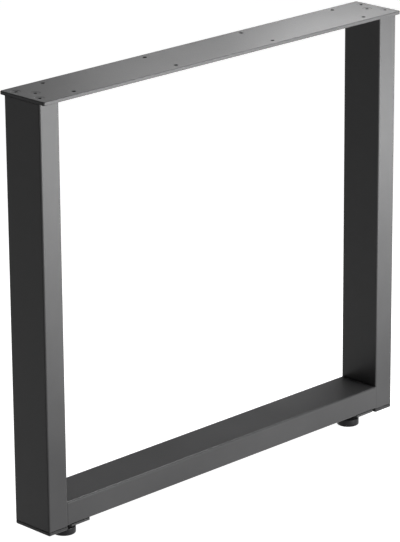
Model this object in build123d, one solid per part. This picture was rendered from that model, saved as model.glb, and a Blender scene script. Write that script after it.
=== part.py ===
"""Steel table leg frame: two box-section uprights, a bottom rail between them, a flat top plate
screwed down on the uprights, plugs in the open tube ends and two levelling feet.

Millimetres. X runs along the frame, Y from front (-Y) to back, Z up.
The origin is on the floor, under the middle of the frame. Left is -X.
"""
import os
from math import radians, tan

from build123d import *

# Frame
frame_width = 800.0         # over the outer faces of the uprights
leg_length = 694.0          # an upright's tube, from its lower end to the top plate
floor_gap = 30.0            # underside of the rail above the floor, as the feet are set

# Box section of the uprights and the rail
tube_depth = 80.0           # front to back
tube_face = 40.0            # seen from the front
tube_wall = 2.0
tube_corner = 3.0           # outer corner radius

# Top plate
plate_thickness = 6.0
plate_overhang = 10.0       # past the tubes, at the front and at the back
plate_corner = 3.0          # corner radius in plan
plate_edge = 0.8            # bevel of the rims

# Holes for the table top's screws: two rows of evenly spaced holes
top_hole_d = 7.0
top_hole_columns = 4
top_hole_end = 75.0         # end of the plate to the first hole
top_hole_rows = 70.0        # between the two rows

# Countersunk socket screws that hold the plate, three into each upright
screw_d = 8.0
screw_length = 16.0         # over all, head included
screw_head_d = 16.0
screw_head_angle = 90.0
screw_socket = 5.0          # across the flats
screw_socket_depth = 2.9
screw_sunk = 0.3            # head below the face of the plate
screw_hole_d = 9.0          # clearance hole in the plate
screw_pair_end = 13.0       # outer pair, from the end of the plate
screw_pair_spacing = 54.0   # between the two of the outer pair, front to back
screw_single_end = 28.0     # inner screw, from the end of the plate

# Threaded block welded into the top of each upright
block_thickness = 10.0
block_clearance = 0.2       # to the walls of the tube

# Plug in the lower end of each upright
plug_head = 7.0             # part that shows below the tube
plug_head_edge = 1.5        # bevel round its underside
plug_groove = 1.4           # square groove round the head, under the tube's end
plug_depth = 20.0           # sleeve inside the tube
plug_wall = 2.2
plug_fin_reach = 1.2        # fins stand out from the sleeve
plug_fin_thickness = 1.4
plug_fin_count = 3
plug_fin_pitch = 5.5
plug_fin_start = 4.0
plug_clearance = 0.1        # fins to the walls of the tube

# Foot plates under the rail, with a weld nut on the rail's floor above each
foot_inset = 27.0           # middle of the foot from the upright's inner face
foot_plate_length = 40.0
foot_plate_thickness = 3.5
foot_plate_corner = 1.5
foot_hole_d = 11.0          # in the plate and in the rail's lower wall
nut_flats = 17.0
weld_nut_height = 8.0
lock_nut_height = 5.0

# Levelling foot: a threaded stud moulded into a plastic pad
stud_d = 10.0
stud_length = 35.0          # above the pad's hexagon
stud_head_flats = 13.0      # hexagon head that the plastic grips
stud_head_height = 4.0
stud_head_level = 4.0       # underside of the head above the floor
pad_d = 38.0
pad_height = 12.0
pad_bottom_edge = 1.5       # bevel at the floor
pad_hex_flats = 15.0
pad_hex_height = 5.0        # hexagon above the pad, for a spanner
running_gap = 0.05          # radial, thread to nut and stud to plastic

# Places that follow from the sizes
leg_bottom = floor_gap
leg_top = leg_bottom + leg_length
plate_top = leg_top + plate_thickness
plate_depth = tube_depth + 2 * plate_overhang
rail_length = frame_width - 2 * tube_face
upright_x = (frame_width - tube_face) / 2
foot_x = rail_length / 2 - foot_inset
tube_inner_corner = tube_corner - tube_wall
bore_face = tube_face - 2 * tube_wall
bore_depth = tube_depth - 2 * tube_wall
foot_plate_bottom = leg_bottom - foot_plate_thickness
pad_hex_top = pad_height + pad_hex_height
stud_top = pad_hex_top + stud_length
stud_hole_r = stud_d / 2 + running_gap


def at(x, y, z, shape):
    """Shape moved to a place."""
    return Pos(x, y, z) * shape


def rod(radius, height):
    """Round bar that stands on z = 0."""
    return extrude(Circle(radius), height)


def turned(points):
    """Solid turned about Z from a half section of (radius, height) points."""
    section = Plane.XZ * make_face(Polyline(*points, close=True))
    return revolve(section, Axis.Z)


def box_section(across, deep, corner):
    """Rectangle with round corners, for the tubes and for what fits in them."""
    return RectangleRounded(across, deep, corner)


def hexagon(flats, height):
    """Hexagonal prism that stands on z = 0."""
    return extrude(RegularPolygon(flats / 2, 6, major_radius=False), height)


def corner_screw_places():
    """Plan positions of the two plate screws at the right-hand end of the plate."""
    x = frame_width / 2 - screw_pair_end
    return [(x, -screw_pair_spacing / 2), (x, screw_pair_spacing / 2)]


def middle_screw_places():
    """Plan position of the third plate screw over the right-hand upright, further in."""
    return [(frame_width / 2 - screw_single_end, 0)]


def screw_places():
    """Plan positions of the three plate screws over the right-hand upright."""
    return corner_screw_places() + middle_screw_places()


def top_hole_places():
    """Plan positions of the holes for the table top's screws."""
    pitch = (frame_width - 2 * top_hole_end) / (top_hole_columns - 1)
    columns = [top_hole_end - frame_width / 2 + pitch * i for i in range(top_hole_columns)]
    return [(x, y) for x in columns for y in (-top_hole_rows / 2, top_hole_rows / 2)]


def countersink():
    """Cutter for one plate screw, with its mouth at z = 0."""
    slope = tan(radians(screw_head_angle / 2))
    mouth_r = screw_head_d / 2 + running_gap + screw_sunk * slope
    hole_r = screw_hole_d / 2
    cone_end = -(mouth_r - hole_r) / slope
    return turned([(0, 0), (mouth_r, 0), (hole_r, cone_end),
                   (hole_r, -plate_thickness), (0, -plate_thickness)])


def top_plate():
    """Flat bar with bevelled rims, eight screw holes and six countersunk holes."""
    blank = extrude(box_section(frame_width, plate_depth, plate_corner), plate_thickness)
    rims = blank.faces().sort_by(Axis.Z)[0].edges() + blank.faces().sort_by(Axis.Z)[-1].edges()
    plate = at(0, 0, leg_top, chamfer(rims, plate_edge))
    for x, y in top_hole_places():
        plate -= at(x, y, leg_top, rod(top_hole_d / 2, plate_thickness))
    for x, y in screw_places():
        plate -= at(x, y, plate_top, countersink())
        plate -= at(-x, y, plate_top, countersink())
    return plate


def upright():
    """Right-hand upright, a length of box section cut square at both ends."""
    section = box_section(tube_face, tube_depth, tube_corner)
    section -= box_section(bore_face, bore_depth, tube_inner_corner)
    return at(upright_x, 0, leg_bottom, extrude(section, leg_length))


def bottom_rail():
    """The same section laid flat between the uprights, drilled for the two feet."""
    section = box_section(tube_depth, tube_face, tube_corner)
    section -= box_section(bore_depth, bore_face, tube_inner_corner)
    rail = at(0, 0, leg_bottom + tube_face / 2,
              extrude(Plane.YZ * section, rail_length / 2, both=True))
    for x in (-foot_x, foot_x):
        rail -= at(x, 0, leg_bottom, rod(foot_hole_d / 2, tube_wall))
    return rail


def screw_block():
    """Steel block in the top of the right-hand upright, tapped for the plate screws."""
    across = bore_face - 2 * block_clearance
    deep = bore_depth - 2 * block_clearance
    block = extrude(box_section(across, deep, tube_inner_corner), -block_thickness)
    block = at(upright_x, 0, leg_top, block)
    for x, y in screw_places():
        block -= at(x, y, leg_top - block_thickness,
                    rod(screw_d / 2 + running_gap, block_thickness))
    return block


def plate_screw():
    """Countersunk screw with a hexagon socket, with the top of its head at z = 0."""
    head_r = screw_head_d / 2
    shank_r = screw_d / 2
    cone_end = -(head_r - shank_r) / tan(radians(screw_head_angle / 2))
    screw = turned([(0, 0), (head_r, 0), (shank_r, cone_end), (shank_r, -screw_length),
                    (0, -screw_length)])
    return screw - at(0, 0, -screw_socket_depth, hexagon(screw_socket, screw_socket_depth))


def plate_screws(places):
    """Screws over both uprights, apart from each other, from their places over the right one."""
    return Compound([at(side * x, y, plate_top - screw_sunk, plate_screw()).solid()
                     for x, y in places for side in (-1, 1)])


def end_plug():
    """Plastic plug of the right-hand upright: a flush head, and a finned sleeve in the tube."""
    head = extrude(box_section(tube_face, tube_depth, tube_corner), -plug_head)
    head = chamfer(head.faces().sort_by(Axis.Z)[0].edges(), plug_head_edge)
    neck = Rectangle(tube_face - 2 * plug_groove, tube_depth - 2 * plug_groove)
    head -= extrude(Rectangle(tube_face, tube_depth) - neck, -plug_groove)
    fin_across = bore_face - 2 * plug_clearance
    fin_deep = bore_depth - 2 * plug_clearance
    sleeve_across = fin_across - 2 * plug_fin_reach
    sleeve_deep = fin_deep - 2 * plug_fin_reach
    sleeve = extrude(Rectangle(sleeve_across, sleeve_deep), plug_depth)
    fin_outline = Rectangle(fin_across, fin_deep)
    fin_outline = chamfer(fin_outline.vertices(), tube_inner_corner)
    for i in range(plug_fin_count):
        fin = extrude(fin_outline, plug_fin_thickness)
        sleeve += at(0, 0, plug_fin_start + plug_fin_pitch * i, fin)
    sleeve -= extrude(Rectangle(sleeve_across - 2 * plug_wall, sleeve_deep - 2 * plug_wall),
                      plug_depth)
    return at(upright_x, 0, leg_bottom, head + sleeve)


def foot_plate():
    """Right-hand steel plate under the rail, with the foot's hole in its middle."""
    plate = extrude(box_section(foot_plate_length, tube_depth, foot_plate_corner),
                    foot_plate_thickness)
    plate -= rod(foot_hole_d / 2, foot_plate_thickness)
    return at(foot_x, 0, foot_plate_bottom, plate)


def weld_nut():
    """Right-hand nut that the foot screws into, welded to the rail's floor."""
    nut = hexagon(nut_flats, weld_nut_height) - rod(stud_hole_r, weld_nut_height)
    return at(foot_x, 0, leg_bottom + tube_wall, nut)


def lock_nut():
    """Right-hand thin nut, tightened up against the foot plate."""
    nut = hexagon(nut_flats, lock_nut_height) - rod(stud_hole_r, lock_nut_height)
    return at(foot_x, 0, foot_plate_bottom - lock_nut_height, nut)


def foot_stem():
    """Right-hand stud, a bolt whose hexagon head is moulded into the pad."""
    stem = rod(stud_d / 2, stud_top - stud_head_level)
    stem += hexagon(stud_head_flats, stud_head_height)
    return at(foot_x, 0, stud_head_level, stem)


def foot_pad():
    """Right-hand plastic pad: a round base, bevelled below, and a hexagon for a spanner."""
    base = rod(pad_d / 2, pad_height)
    base = chamfer(base.edges().group_by(Axis.Z)[0], pad_bottom_edge)
    spanner_hexagon = at(0, 0, pad_height, hexagon(pad_hex_flats, pad_hex_height))
    pocket = at(0, 0, stud_head_level - running_gap,
                hexagon(stud_head_flats + 2 * running_gap, stud_head_height + 2 * running_gap))
    stud_hole = at(0, 0, stud_head_level, rod(stud_hole_r, pad_hex_top - stud_head_level))
    return at(foot_x, 0, 0, base + spanner_hexagon - pocket - stud_hole)


single_pieces = {
    "top_plate": top_plate(),
    "bottom_rail": bottom_rail(),
    "corner_screws": plate_screws(corner_screw_places()),
    "middle_screws": plate_screws(middle_screw_places()),
}

paired_pieces = {
    "upright": upright(),
    "screw_block": screw_block(),
    "end_plug": end_plug(),
    "foot_plate": foot_plate(),
    "weld_nut": weld_nut(),
    "lock_nut": lock_nut(),
    "foot_stem": foot_stem(),
    "foot_pad": foot_pad(),
}

os.makedirs("parts", exist_ok=True)
for name, piece in single_pieces.items():
    export_step(piece, f"parts/{name}.step")
for name, piece in paired_pieces.items():
    export_step(piece, f"parts/right_{name}.step")
    export_step(mirror(piece, Plane.YZ), f"parts/left_{name}.step")
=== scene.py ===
"""Looks of a steel table leg frame: powder-coated box section, a drilled top plate held by
countersunk screws, end plugs and levelling feet, in plain studio light."""
from math import cos, pi, radians, sin, tan

import bmesh
import bpy
from mathutils import Euler, Matrix, Vector


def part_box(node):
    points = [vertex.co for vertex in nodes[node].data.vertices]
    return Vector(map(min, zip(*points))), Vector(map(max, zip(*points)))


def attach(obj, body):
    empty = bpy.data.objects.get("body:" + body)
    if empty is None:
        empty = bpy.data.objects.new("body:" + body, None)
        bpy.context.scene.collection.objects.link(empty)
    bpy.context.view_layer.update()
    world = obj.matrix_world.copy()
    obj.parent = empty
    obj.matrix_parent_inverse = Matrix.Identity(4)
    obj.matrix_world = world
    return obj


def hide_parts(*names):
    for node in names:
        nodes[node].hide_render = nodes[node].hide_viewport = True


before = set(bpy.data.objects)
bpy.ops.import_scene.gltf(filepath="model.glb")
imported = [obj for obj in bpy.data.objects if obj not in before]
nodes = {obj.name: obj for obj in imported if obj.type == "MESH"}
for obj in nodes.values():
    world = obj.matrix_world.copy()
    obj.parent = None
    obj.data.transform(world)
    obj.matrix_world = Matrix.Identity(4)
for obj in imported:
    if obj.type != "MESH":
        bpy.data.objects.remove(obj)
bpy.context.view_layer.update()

mm = 0.001


# Welded steel: two box-section uprights, the bottom rail between them and a foot plate under
# the rail beside each upright. Cut square, welded, and coated in one go with a fine-grained
# satin black powder.
coat_colour = (0.050, 0.050, 0.051, 1)
coat_colour_thin = (0.058, 0.058, 0.059, 1)
coat_roughness = (0.34, 0.38)
coat_specular = 0.16


def new_material(name, specular=0.5):
    """Material with a shader of its own, and its node helper functions."""
    material = bpy.data.materials.new(name)
    material.use_nodes = True
    shader = material.node_tree.nodes["Principled BSDF"]
    shader.inputs["Specular IOR Level"].default_value = specular
    return material, material.node_tree.nodes, material.node_tree.links, shader


def object_noise(material_nodes, links, scale, detail=2.0, stretch=(1, 1, 1)):
    """Noise in the object's own metres, drawn out along an axis by a low stretch."""
    place = material_nodes.new("ShaderNodeTexCoord")
    mapping = material_nodes.new("ShaderNodeMapping")
    mapping.inputs["Scale"].default_value = stretch
    noise = material_nodes.new("ShaderNodeTexNoise")
    noise.inputs["Scale"].default_value = scale
    noise.inputs["Detail"].default_value = detail
    links.new(place.outputs["Object"], mapping.inputs["Vector"])
    links.new(mapping.outputs["Vector"], noise.inputs["Vector"])
    return noise.outputs["Fac"]


def spread(material_nodes, links, value, low, high, from_low=0.3, from_high=0.7):
    """Value stretched from the middle of a noise to a range."""
    node = material_nodes.new("ShaderNodeMapRange")
    node.inputs["From Min"].default_value = from_low
    node.inputs["From Max"].default_value = from_high
    node.inputs["To Min"].default_value = low
    node.inputs["To Max"].default_value = high
    links.new(value, node.inputs["Value"])
    return node.outputs["Result"]


def two_tones(material_nodes, links, value, low, high):
    """Colour between two tones, by a noise."""
    ramp = material_nodes.new("ShaderNodeValToRGB")
    ramp.color_ramp.elements[0].position = 0.35
    ramp.color_ramp.elements[0].color = low
    ramp.color_ramp.elements[1].position = 0.65
    ramp.color_ramp.elements[1].color = high
    links.new(value, ramp.inputs["Fac"])
    return ramp.outputs["Color"]


def bumps(material_nodes, links, shader, heights):
    """Bump nodes in a row, one for each pair of a height and its depth."""
    below = None
    for height, depth in heights:
        bump = material_nodes.new("ShaderNodeBump")
        bump.inputs["Distance"].default_value = depth
        links.new(height, bump.inputs["Height"])
        if below:
            links.new(below, bump.inputs["Normal"])
        below = bump.outputs["Normal"]
    links.new(below, shader.inputs["Normal"])


def powder_coat():
    """Satin powder coat: fine grain over a faint orange peel."""
    material, parts, links, shader = new_material("powder_coat", specular=coat_specular)
    flow = object_noise(parts, links, 9, 3)
    peel = object_noise(parts, links, 320)
    grain = object_noise(parts, links, 1700, 3)
    links.new(two_tones(parts, links, flow, coat_colour, coat_colour_thin),
              shader.inputs["Base Color"])
    links.new(spread(parts, links, flow, *coat_roughness), shader.inputs["Roughness"])
    bumps(parts, links, shader, [(peel, 0.06 * mm), (grain, 0.03 * mm)])
    return material


coated = powder_coat()
for name in ("left_upright", "right_upright", "bottom_rail", "left_foot_plate",
             "right_foot_plate"):
    nodes[name].data.materials.clear()
    nodes[name].data.materials.append(coated)


# Welds: each end of the rail is welded to its upright up the front and up the back. The bead
# fills the groove beside the tube's round corner and is ground nearly flush before coating.
weld_dip = 0.3 * mm                # left below the faces of the tubes
weld_on_upright = 1.8 * mm         # reach over the round corner
tube_corner_r = 3 * mm
weld_cuts = 39
same_place = 1e-7                  # vertices this close are one


def finished(name, bm, material, body, slot, *replaced, sharp=35):
    """Object from a bmesh, smooth but for its sharp edges, riding on its body."""
    mesh = bpy.data.meshes.new(name)
    for edge in bm.edges:
        edge.smooth = edge.calc_face_angle(pi) < radians(sharp)
    for face in bm.faces:
        face.smooth = True
    bm.to_mesh(mesh)
    bm.free()
    piece = bpy.data.objects.new(name, mesh)
    bpy.context.scene.collection.objects.link(piece)
    mesh.materials.append(material)
    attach(piece, body)
    if replaced:
        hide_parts(*replaced)


def ground_bead(joint_x, out_x, face_y, out_y, bottom, top):
    """Bead up one corner of an upright, run out where the rail's edges are round."""
    bm = bmesh.new()
    section = [(joint_x + out_x * weld_on_upright, face_y - out_y * weld_dip, bottom),
               (joint_x, face_y - out_y * weld_dip, bottom),
               (joint_x, face_y - out_y * tube_corner_r, bottom)]
    foot = bm.faces.new([bm.verts.new(point) for point in section])
    grown = bmesh.ops.extrude_face_region(bm, geom=[foot], use_keep_orig=True)["geom"]
    bmesh.ops.translate(bm, verts=[v for v in grown if isinstance(v, bmesh.types.BMVert)],
                        vec=(0, 0, top - bottom))
    upright_edges = [e for e in bm.edges if abs(e.verts[0].co.z - e.verts[1].co.z) > weld_dip]
    bmesh.ops.subdivide_edges(bm, edges=upright_edges, cuts=weld_cuts, use_grid_fill=True)
    for vertex in bm.verts:
        level = max(0, min(vertex.co.z - bottom, top - vertex.co.z))
        inset = max(0, tube_corner_r - level)
        fall = tube_corner_r - (tube_corner_r ** 2 - inset ** 2) ** 0.5
        if abs(vertex.co.x - joint_x) < weld_dip:
            depth = min(abs(face_y - vertex.co.y) + fall, tube_corner_r)
            vertex.co.y = face_y - out_y * depth
    bmesh.ops.remove_doubles(bm, verts=bm.verts, dist=same_place)
    bmesh.ops.recalc_face_normals(bm, faces=bm.faces)
    return bm


def add_to(group, bm):
    """Puts one piece of a group into the group's bmesh."""
    passing = bpy.data.meshes.new("passing")
    bm.to_mesh(passing)
    bm.free()
    group.from_mesh(passing)
    bpy.data.meshes.remove(passing)


beads = bmesh.new()
rail_low, rail_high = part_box("bottom_rail")
for joint_x, out_x in ((rail_low.x, -1), (rail_high.x, 1)):
    for face_y, out_y in ((rail_low.y, -1), (rail_high.y, 1)):
        add_to(beads, ground_bead(joint_x, out_x, face_y, out_y, rail_low.z, rail_high.z))
finished("rail_welds", beads, coated, "frame", "powder_coat")


# Top plate: a flat bar with bevelled rims, drilled and countersunk before it was coated with
# the same powder as the frame. Three screws hold it down on each upright.
nodes["top_plate"].data.materials.clear()
nodes["top_plate"].data.materials.append(coated)


# Plate screws: three countersunk socket screws over each upright, black steel, with rolled
# threads. They go through the plate into the threaded block in the top of the upright.
screw_length = 16 * mm
screw_head_r = 8 * mm
screw_head_rim = 0.5 * mm
screw_rim_bevel = 0.15 * mm
screw_shank_r = 4 * mm
screw_pitch = 1.25 * mm
screw_thread_depth = 0.6 * mm
screw_socket_r = 2.5 * mm          # to the flats
screw_socket_depth = 2.9 * mm
screw_socket_cone = 0.8 * mm        # drill point below the socket
screw_socket_mouth = 0.6 * mm
screw_steps = 48


def black_steel():
    """Blackened steel with a thin film of oil and the marks of turning."""
    material, parts, links, shader = new_material("black_screw", specular=0.3)
    cloud = object_noise(parts, links, 240, 3)
    fine = object_noise(parts, links, 2600, 2)
    links.new(two_tones(parts, links, cloud, (0.009, 0.009, 0.010, 1), (0.016, 0.016, 0.016, 1)),
              shader.inputs["Base Color"])
    links.new(spread(parts, links, cloud, 0.34, 0.46), shader.inputs["Roughness"])
    bumps(parts, links, shader, [(fine, 0.01 * mm)])
    return material


def turned(profile, steps):
    """Closed solid turned about Z from (radius, height) points, from the axis back to it."""
    bm = bmesh.new()
    points = [bm.verts.new((r, 0, z)) for r, z in profile]
    edges = [bm.edges.new(pair) for pair in zip(points, points[1:])]
    bmesh.ops.spin(bm, geom=points + edges, cent=(0, 0, 0), axis=(0, 0, 1), angle=2 * pi,
                   steps=steps, use_merge=True)
    bmesh.ops.remove_doubles(bm, verts=bm.verts, dist=same_place)
    bmesh.ops.recalc_face_normals(bm, faces=bm.faces)
    return bm


def hexagon_radius(vertex, flats_r):
    """Distance from the axis to the side of a hexagon in a vertex's direction."""
    sixth = pi / 3
    turn = Vector((vertex.co.x, vertex.co.y)).angle_signed(Vector((1, 0)), 0) % sixth
    return flats_r / cos(turn - sixth / 2)


def set_radius(vertex, radius):
    """Moves a vertex straight out from or in to the Z axis."""
    flat = Vector((vertex.co.x, vertex.co.y))
    flat *= radius / flat.length
    vertex.co.x, vertex.co.y = flat


def plate_screw():
    """One screw with the top of its head at z = 0."""
    core = screw_shank_r - screw_thread_depth
    cone_end = -screw_head_rim - (screw_head_r - screw_shank_r)
    profile = [(0, -screw_socket_depth - screw_socket_cone), (screw_socket_r, -screw_socket_depth),
               (screw_socket_r, -screw_socket_mouth), (screw_socket_r + screw_socket_mouth, 0),
               (screw_head_r - screw_rim_bevel, 0), (screw_head_r, -screw_rim_bevel),
               (screw_head_r, -screw_head_rim), (screw_shank_r, cone_end)]
    z = cone_end - screw_pitch / 2
    while z - screw_pitch > -screw_length:
        profile += [(screw_shank_r, z), (core, z - screw_pitch / 2)]
        z -= screw_pitch
    profile += [(core, -screw_length), (0, -screw_length)]
    bm = turned(profile, screw_steps)
    for vertex in bm.verts:
        inside = vertex.co.z < 0 and vertex.co.z > -screw_socket_depth - 1e-6
        if inside and vertex.co.xy.length < screw_socket_r * 1.01 and vertex.co.xy.length > 0:
            set_radius(vertex, hexagon_radius(vertex, screw_socket_r))
    return bm


screw_steel = black_steel()
for name, node, rows in (("corner_socket_screws", "corner_screws", 2),
                         ("middle_socket_screws", "middle_screws", 1)):
    low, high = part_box(node)
    group = bmesh.new()
    for x in (low.x + screw_head_r, high.x - screw_head_r):
        for y in (low.y + screw_head_r, high.y - screw_head_r)[:rows]:
            one = plate_screw()
            bmesh.ops.translate(one, verts=one.verts, vec=(x, y, high.z))
            add_to(group, one)
    finished(name, group, screw_steel, "frame", "black_screw", node)


# Screw blocks and weld nuts: plain steel inside the tubes, hidden once the frame is made. The
# blocks are sawn from bar, tapped and welded in, and the nuts are welded to the rail's floor.
def bare_steel():
    """Sawn and milled steel with a brushed grain and a trace of rust bloom."""
    material, parts, links, shader = new_material("bare_steel")
    brushed = object_noise(parts, links, 900, 3, (0.08, 1, 1))
    bloom = object_noise(parts, links, 60, 3)
    links.new(two_tones(parts, links, bloom, (0.30, 0.29, 0.27, 1), (0.38, 0.38, 0.38, 1)),
              shader.inputs["Base Color"])
    shader.inputs["Metallic"].default_value = 1
    links.new(spread(parts, links, brushed, 0.32, 0.46), shader.inputs["Roughness"])
    bumps(parts, links, shader, [(brushed, 0.02 * mm)])
    return material


block_steel = bare_steel()
for side in ("left", "right"):
    for name in (f"{side}_screw_block", f"{side}_weld_nut"):
        nodes[name].data.materials.clear()
        nodes[name].data.materials.append(block_steel)


# End plugs: moulded in black plastic and pushed into the open lower ends of the uprights. The
# head is flush with the tube, with eased edges, and thin fins grip the inside of the tube.
def moulded_plastic(name, low, high, roughness, specular):
    """Black plastic with the fine spark-eroded grain of its mould."""
    material, parts, links, shader = new_material(name, specular)
    cloud = object_noise(parts, links, 70, 2)
    erosion = object_noise(parts, links, 2200, 3)
    links.new(two_tones(parts, links, cloud, low, high), shader.inputs["Base Color"])
    links.new(spread(parts, links, erosion, *roughness), shader.inputs["Roughness"])
    bumps(parts, links, shader, [(erosion, 0.04 * mm)])
    return material


plug_plastic = moulded_plastic("plug_plastic", (0.030, 0.030, 0.031, 1),
                               (0.038, 0.038, 0.039, 1), (0.38, 0.46), 0.16)
for side in ("left", "right"):
    nodes[f"{side}_end_plug"].data.materials.clear()
    nodes[f"{side}_end_plug"].data.materials.append(plug_plastic)


# Levelling feet: a zinc-plated stud with a rolled thread, a thin lock nut turned up against
# the foot plate, and a round plastic pad with a hexagon for a spanner, moulded on the stud.
stud_r = 5 * mm
stud_pitch = 1.5 * mm
stud_thread_depth = 0.9 * mm
stud_tip = 1 * mm
thread_flat = 0.125                # of a pitch, at the root and at the crest
nut_gap = 0.05 * mm
stud_turns_steps = 40
nut_flats_r = 8.5 * mm
nut_face_r = 8.1 * mm
nut_bore_bevel = 0.5 * mm
foot_steps = 72
pad_base_height = 12 * mm
pad_hex_r = 7.5 * mm
pad_hex_root = 0.3 * mm            # small fillet at the foot of the hexagon
pad_land = 2 * mm
pad_bore_r = 4.5 * mm
pad_low_edge = 1.5 * mm
pad_top_edge = 1.0 * mm
pad_hex_edge = 0.6 * mm
edge_steps = 4


def zinc_plate():
    """Bright zinc with the mottle of the plating bath."""
    material, parts, links, shader = new_material("zinc_steel")
    mottle = object_noise(parts, links, 420, 4)
    fine = object_noise(parts, links, 2400, 2)
    links.new(two_tones(parts, links, mottle, (0.46, 0.47, 0.49, 1), (0.56, 0.57, 0.59, 1)),
              shader.inputs["Base Color"])
    shader.inputs["Metallic"].default_value = 1
    links.new(spread(parts, links, mottle, 0.26, 0.40), shader.inputs["Roughness"])
    bumps(parts, links, shader, [(fine, 0.012 * mm)])
    return material


zinc = zinc_plate()
pad_plastic = moulded_plastic("pad_plastic", (0.008, 0.008, 0.009, 1),
                              (0.012, 0.012, 0.013, 1), (0.34, 0.46), 0.18)


def rounded(centre, radius, start, end):
    """Points of a quarter arc of a profile, by angle in degrees from straight out."""
    turns = [radians(start + (end - start) * i / edge_steps) for i in range(edge_steps + 1)]
    return [(centre[0] + radius * cos(t), centre[1] + radius * sin(t)) for t in turns]


def threaded_stud(bottom, top):
    """Rolled thread all the way up, a true helix, cut flat at both ends."""
    bm = bmesh.new()
    core = stud_r - stud_thread_depth
    turns = int((top - bottom) / stud_pitch) + 3
    points = []
    for i in range(turns):
        z = bottom - stud_pitch + (i - 0.5) * stud_pitch
        points += [bm.verts.new((core, 0, z)),
                   bm.verts.new((core, 0, z + stud_pitch * thread_flat)),
                   bm.verts.new((stud_r, 0, z + stud_pitch * 0.5)),
                   bm.verts.new((stud_r, 0, z + stud_pitch * (0.5 + thread_flat)))]
    edges = [bm.edges.new(pair) for pair in zip(points, points[1:])]
    bmesh.ops.spin(bm, geom=points + edges, cent=(0, 0, 0), axis=(0, 0, 1), angle=2 * pi,
                   dvec=(0, 0, stud_pitch / stud_turns_steps), steps=stud_turns_steps,
                   use_merge=False)
    bmesh.ops.remove_doubles(bm, verts=bm.verts, dist=1e-6)
    for height, up in ((bottom, -1), (top, 1)):
        bmesh.ops.bisect_plane(bm, geom=bm.verts[:] + bm.edges[:] + bm.faces[:],
                               plane_co=(0, 0, height), plane_no=(0, 0, up), clear_outer=True)
    bmesh.ops.holes_fill(bm, edges=[e for e in bm.edges if e.is_boundary], sides=0)
    for vertex in bm.verts:
        limit = stud_r - max(0, vertex.co.z - (top - stud_tip))
        if vertex.co.xy.length > limit:
            set_radius(vertex, limit)
    bmesh.ops.remove_doubles(bm, verts=bm.verts, dist=2e-6)
    bmesh.ops.dissolve_degenerate(bm, edges=bm.edges, dist=1e-6)
    bmesh.ops.recalc_face_normals(bm, faces=bm.faces)
    return bm


def lock_nut(bottom, top):
    """Hexagon nut with turned corners on both faces."""
    bore = stud_r + nut_gap
    profile = [(bore, bottom + nut_bore_bevel), (bore + nut_bore_bevel, bottom),
               (nut_face_r, bottom), (nut_flats_r, bottom), (nut_flats_r, top),
               (nut_face_r, top), (bore + nut_bore_bevel, top), (bore, top - nut_bore_bevel)]
    bm = turned(profile + profile[:1], foot_steps)
    for vertex in bm.verts:
        if vertex.co.xy.length > nut_flats_r * 0.999:
            radius = hexagon_radius(vertex, nut_flats_r)
            drop = (radius - nut_face_r) * tan(radians(30))
            vertex.co.z += -drop if vertex.co.z > (bottom + top) / 2 else drop
            set_radius(vertex, radius)
    return bm


def foot_pad(pad_r, pad_top, hex_top):
    """Round base with eased rims, running up into a hexagon with an eased top."""
    foot_of_hexagon = pad_hex_r + pad_hex_root
    profile = [(0, 0), (pad_r - pad_low_edge, 0)]
    profile += rounded((pad_r - pad_low_edge, pad_low_edge), pad_low_edge, -90, 0)[1:]
    profile += rounded((pad_r - pad_top_edge, pad_top - pad_top_edge), pad_top_edge, 0, 90)
    profile += [(foot_of_hexagon + pad_land, pad_top), (foot_of_hexagon, pad_top),
                (pad_hex_r, pad_top + pad_hex_root), (pad_hex_r, hex_top - pad_hex_edge)]
    profile += rounded((pad_hex_r - pad_hex_edge, hex_top - pad_hex_edge), pad_hex_edge, 0, 90)[1:]
    profile += [(pad_bore_r, hex_top), (0, hex_top)]
    bm = turned(profile, foot_steps)
    for vertex in bm.verts:
        radius = vertex.co.xy.length
        if pad_top - 1e-6 < vertex.co.z and stud_r < radius < foot_of_hexagon + 1e-6:
            set_radius(vertex, radius * hexagon_radius(vertex, 1))
    return bm


for side in ("left", "right"):
    body = f"{side}_foot"
    pad_low, pad_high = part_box(f"{side}_foot_pad")
    stem_low, stem_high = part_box(f"{side}_foot_stem")
    nut_low, nut_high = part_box(f"{side}_lock_nut")
    foot_x = (pad_low.x + pad_high.x) / 2
    stem = threaded_stud(stem_low.z, stem_high.z)
    nut = lock_nut(nut_low.z, nut_high.z)
    pad = foot_pad((pad_high.x - pad_low.x) / 2, pad_base_height, pad_high.z)
    for bm in (stem, nut, pad):
        bmesh.ops.translate(bm, verts=bm.verts, vec=(foot_x, 0, 0))
    finished(f"{side}_threaded_stud", stem, zinc, body, "zinc_steel", f"{side}_foot_stem",
             sharp=80)
    finished(f"{side}_thin_nut", nut, zinc, "frame", "zinc_steel", f"{side}_lock_nut", sharp=25)
    finished(f"{side}_pad", pad, pad_plastic, body, "pad_plastic", f"{side}_foot_pad", sharp=40)


# Floor and backdrop: a wide pale floor that the frame stands on, with a low pale wall far off
# all round. The camera and reflections see both white, and the floor keeps the soft shadow.
backdrop_r = 60.0
backdrop_steps = 96
wall_height = 6.5
pale_tone = 0.40
pale_mottle = 0.02
white_lift = 0.97


def seen_or_reflected(parts, links, strength):
    """Strength for rays from the camera, from gloss and through glass, and 0 for the rest."""
    path = parts.new("ShaderNodeLightPath")
    total = path.outputs["Is Camera Ray"]
    for ray in ("Is Glossy Ray", "Is Transmission Ray"):
        either = parts.new("ShaderNodeMath")
        either.operation = "MAXIMUM"
        links.new(total, either.inputs[0])
        links.new(path.outputs[ray], either.inputs[1])
        total = either.outputs["Value"]
    scaled = parts.new("ShaderNodeMath")
    scaled.operation = "MULTIPLY"
    links.new(total, scaled.inputs[0])
    scaled.inputs[1].default_value = strength
    return scaled.outputs["Value"]


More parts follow.
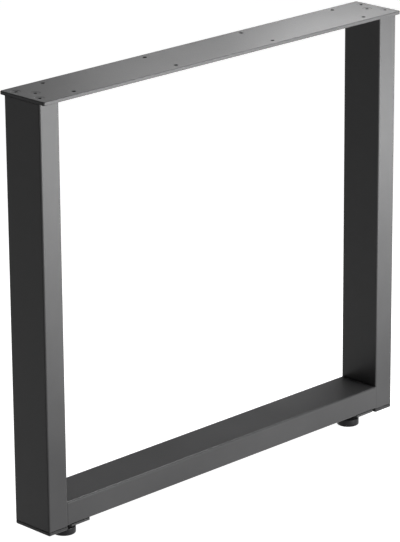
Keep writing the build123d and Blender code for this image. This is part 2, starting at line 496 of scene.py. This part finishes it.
def pale_material():
    """Pale matt paint with a faint mottle, lifted to white where it is seen."""
    material, parts, links, shader = new_material("pale", specular=0.1)
    mottle = object_noise(parts, links, 3, 3)
    dull, bright = ((tone, tone, tone, 1) for tone in (pale_tone, pale_tone + pale_mottle))
    links.new(two_tones(parts, links, mottle, dull, bright), shader.inputs["Base Color"])
    links.new(spread(parts, links, mottle, 0.85, 0.95), shader.inputs["Roughness"])
    links.new(seen_or_reflected(parts, links, white_lift), shader.inputs["Emission Strength"])
    shader.inputs["Emission Color"].default_value = (1, 1, 1, 1)
    return material


pale = pale_material()
for name, height in (("floor", 0), ("wall", wall_height)):
    bm = bmesh.new()
    bmesh.ops.create_circle(bm, cap_ends=not height, segments=backdrop_steps,
                            radius=backdrop_r)
    if height:
        upper = bmesh.ops.extrude_edge_only(bm, edges=bm.edges[:])["geom"]
        bmesh.ops.translate(bm, verts=[v for v in upper if isinstance(v, bmesh.types.BMVert)],
                            vec=(0, 0, height))
        for face in bm.faces:
            if face.normal.dot(face.calc_center_median()) > 0:
                face.normal_flip()
    mesh = bpy.data.meshes.new(name)
    bm.to_mesh(mesh)
    bm.free()
    mesh.materials.append(pale)
    sheet = bpy.data.objects.new(name, mesh)
    bpy.context.scene.collection.objects.link(sheet)


# Room: plain dim grey over the backdrop, with nothing in it. It gives a little fill on the
# object from all sides, so that no face is black.
fill_level = 0.06
world = bpy.data.worlds.new("room")
bpy.context.scene.world = world
world.use_nodes = True
walls = world.node_tree.nodes["Background"]
walls.inputs["Color"].default_value = (1, 1, 1, 1)
walls.inputs["Strength"].default_value = fill_level


# Lamps: soft boxes. One stands low in front. Three lie on the floor in front on the right and
# face up, and shade the front faces from top to bottom. Four small ones hang over the plate.
def soft_box(name, place, target, size, watts):
    """Square area lamp that faces its target."""
    lamp = bpy.data.lights.new(name, "AREA")
    lamp.shape = "SQUARE"
    lamp.size = size
    lamp.energy = watts
    holder = bpy.data.objects.new(name, lamp)
    bpy.context.scene.collection.objects.link(holder)
    holder.location = place
    holder.rotation_euler = (Vector(target) - Vector(place)).to_track_quat("-Z", "Y").to_euler()


soft_box("low_front", (1.0, -2.9, 0.45), (0, 0, 0.3), 0.8, 122)
soft_box("floor_right", (1.3, -1.6, 0.012), (1.3, -1.6, 1), 0.8, 73)
soft_box("floor_far_right", (1.9, -1.2, 0.012), (1.9, -1.2, 1), 0.8, 33)
soft_box("floor_near", (0.6, -0.85, 0.012), (0.6, -0.85, 1), 0.6, 9)
soft_box("over_right_end", (1.0, 0.4, 1.5), (0, 0, 0.6), 0.8, 18)
soft_box("over_middle", (0.6, 0.4, 1.4), (0, 0, 0.6), 0.8, 7)
soft_box("over_back", (0.3, 0.9, 1.2), (0, 0, 0.7), 0.6, 0.6)
soft_box("over_front", (0.75, -0.35, 1.55), (0, 0, 0.7), 0.5, 5)


# Camera: a long lens well in front on the left, a little above the frame and looking down on
# it, level but for a slight roll.
photo_height_px = 542
camera_sensor_mm = 36.0
camera_focal_px = 3155.9
camera_place = (-3.4399, -3.4514, 1.9759)
camera_yaw = -44.70
camera_pitch = 18.37
camera_roll = -0.42
camera_data = bpy.data.cameras.new("camera")
camera_data.sensor_width = camera_sensor_mm
camera_data.sensor_fit = "AUTO"
camera_data.lens = camera_focal_px / photo_height_px * camera_sensor_mm
camera = bpy.data.objects.new("camera", camera_data)
bpy.context.scene.collection.objects.link(camera)
aim = Euler((radians(90 - camera_pitch), 0, radians(camera_yaw))).to_matrix()
camera.matrix_world = (Matrix.Translation(camera_place)
                       @ (aim @ Matrix.Rotation(radians(camera_roll), 3, "Z")).to_4x4())
bpy.context.scene.camera = camera
bpy.context.scene.view_settings.view_transform = "Standard"
